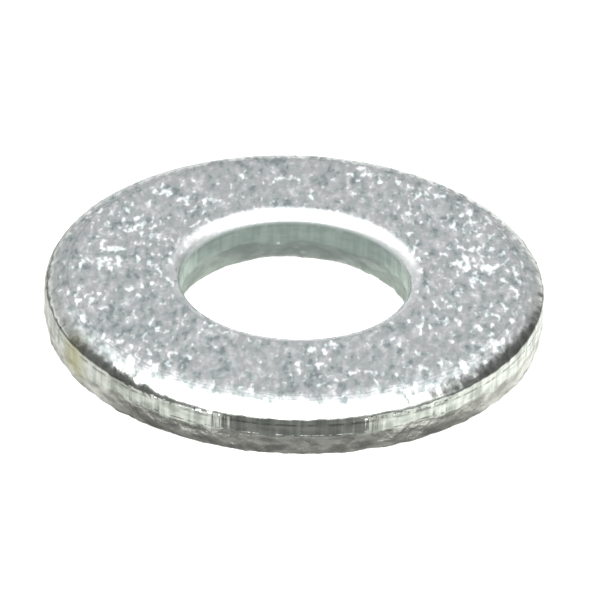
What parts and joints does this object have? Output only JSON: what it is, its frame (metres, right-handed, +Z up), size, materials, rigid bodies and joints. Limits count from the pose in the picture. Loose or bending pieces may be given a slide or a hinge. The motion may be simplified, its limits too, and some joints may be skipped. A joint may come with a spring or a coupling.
{
  "type": "flat washer",
  "caption": "Flat round washer blanked from sheet steel, with a plain centre hole and rolled upper edges, for spreading a bolt's load.",
  "frame": {"origin": "centre of the lower bearing face, on the axis of the hole", "axes": "+Z up along the axis of the hole, from the lower face with its small sharp edge towards the upper face with the rolled edges; X and Y lie in the lower face, and are equal because the ring is round"},
  "size_m": [0.0158, 0.0158, 0.0017],
  "materials": {
    "zinc_plated_steel": "bright zinc plate with a clear passivate, tumbled"
  },
  "bodies": {
    "root": {"washer_ring": "zinc_plated_steel"}
  },
  "joints": []
}
